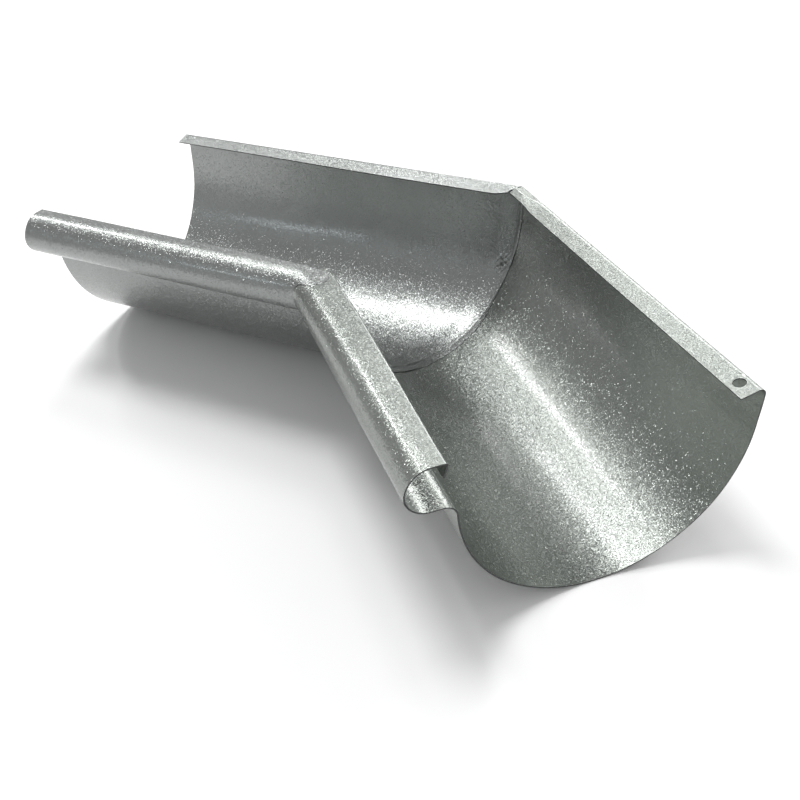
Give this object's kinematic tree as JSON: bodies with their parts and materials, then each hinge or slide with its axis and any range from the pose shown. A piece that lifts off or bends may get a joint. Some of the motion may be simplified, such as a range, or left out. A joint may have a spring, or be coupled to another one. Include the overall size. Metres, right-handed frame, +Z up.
{
  "type": "internal gutter angle",
  "caption": "Internal gutter angle for a half-round roof gutter: mitred arms of rolled sheet steel with a folded rear flange and a rolled bead, lapped at the mitre.",
  "frame": {"origin": "on the floor, under the middle of the part's bounding box; the plane of the mitre is square to X and lies 8.3 mm to the right of it, at X = 0.0083", "axes": "+X towards the right arm, +Y towards the folded rear edge at the outside of the angle, +Z up, out of the open trough"},
  "size_m": [0.3894, 0.2178, 0.0839],
  "materials": {
    "left_sheet": "silver metallic coating on galvanised steel sheet, satin, with fine flakes",
    "right_sheet": "silver metallic coating on galvanised steel sheet, satin, with fine flakes"
  },
  "bodies": {
    "root": {"left_arm": "left_sheet", "right_arm": "right_sheet"}
  },
  "joints": []
}
